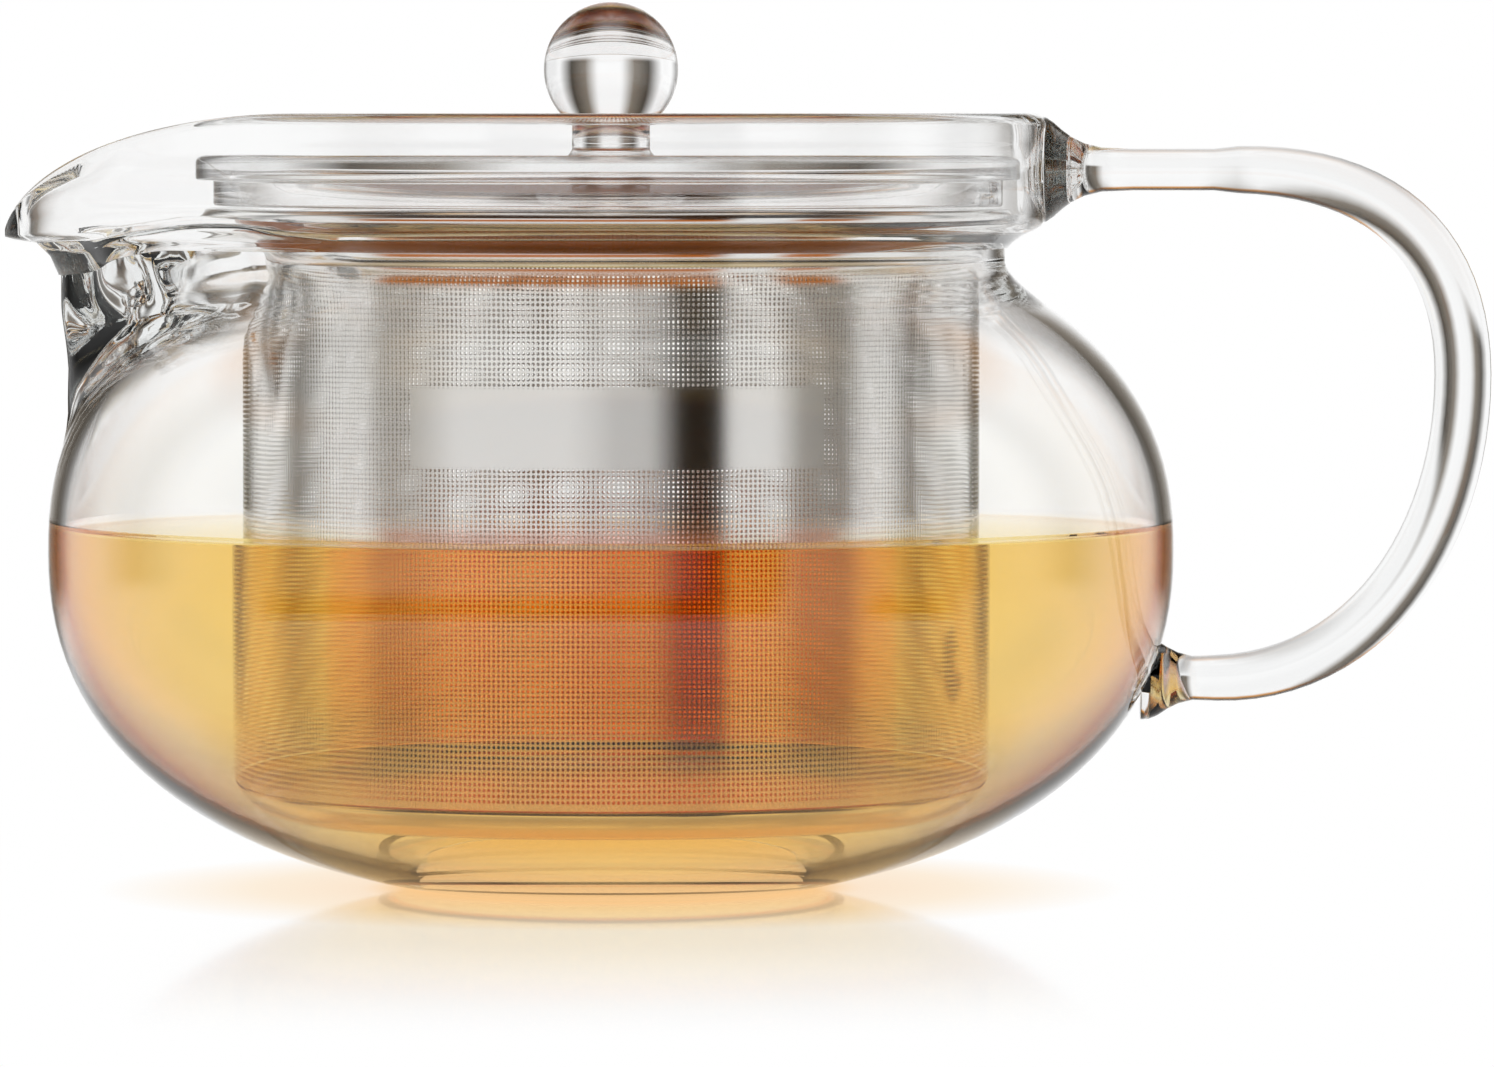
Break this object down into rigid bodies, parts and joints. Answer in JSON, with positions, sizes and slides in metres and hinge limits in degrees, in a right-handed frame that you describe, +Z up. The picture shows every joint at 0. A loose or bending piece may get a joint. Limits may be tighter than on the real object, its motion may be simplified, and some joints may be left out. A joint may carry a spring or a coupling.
{
  "type": "glass teapot",
  "caption": "Squat round glass teapot with a drawn pouring beak, a looped rod handle, a lift-out perforated steel infuser and a recessed glass lid with a ball knob.",
  "frame": {"origin": "centre of the flat foot of the bowl, on the bowl's axis", "axes": "+Z up along the bowl's axis, -X towards the pouring beak, +X towards the handle"},
  "size_m": [0.1849, 0.14, 0.1103],
  "materials": {
    "clear_glass": "flame-polished clear borosilicate",
    "lid_glass": "flame-polished clear borosilicate",
    "spun_steel": "satin stainless, turned",
    "etched_steel_sheet": "satin stainless sheet, finely perforated"
  },
  "bodies": {
    "pot": {"bowl": "clear_glass", "spout": "clear_glass", "collar": "clear_glass", "handle": "clear_glass"},
    "infuser": {"infuser_rim": "spun_steel", "infuser_wall": "etched_steel_sheet", "infuser_base": "spun_steel"},
    "lid": {"lid_disc": "lid_glass", "lid_knob": "lid_glass"}
  },
  "joints": [
    {"name": "infuser_lift", "type": "slide", "parent": "pot", "child": "infuser", "axis": [0, 0, 1], "range_m": [0, 0.095]},
    {"name": "lid_lift", "type": "slide", "parent": "infuser", "child": "lid", "axis": [0, 0, 1], "range_m": [0, 0.05]}
  ]
}
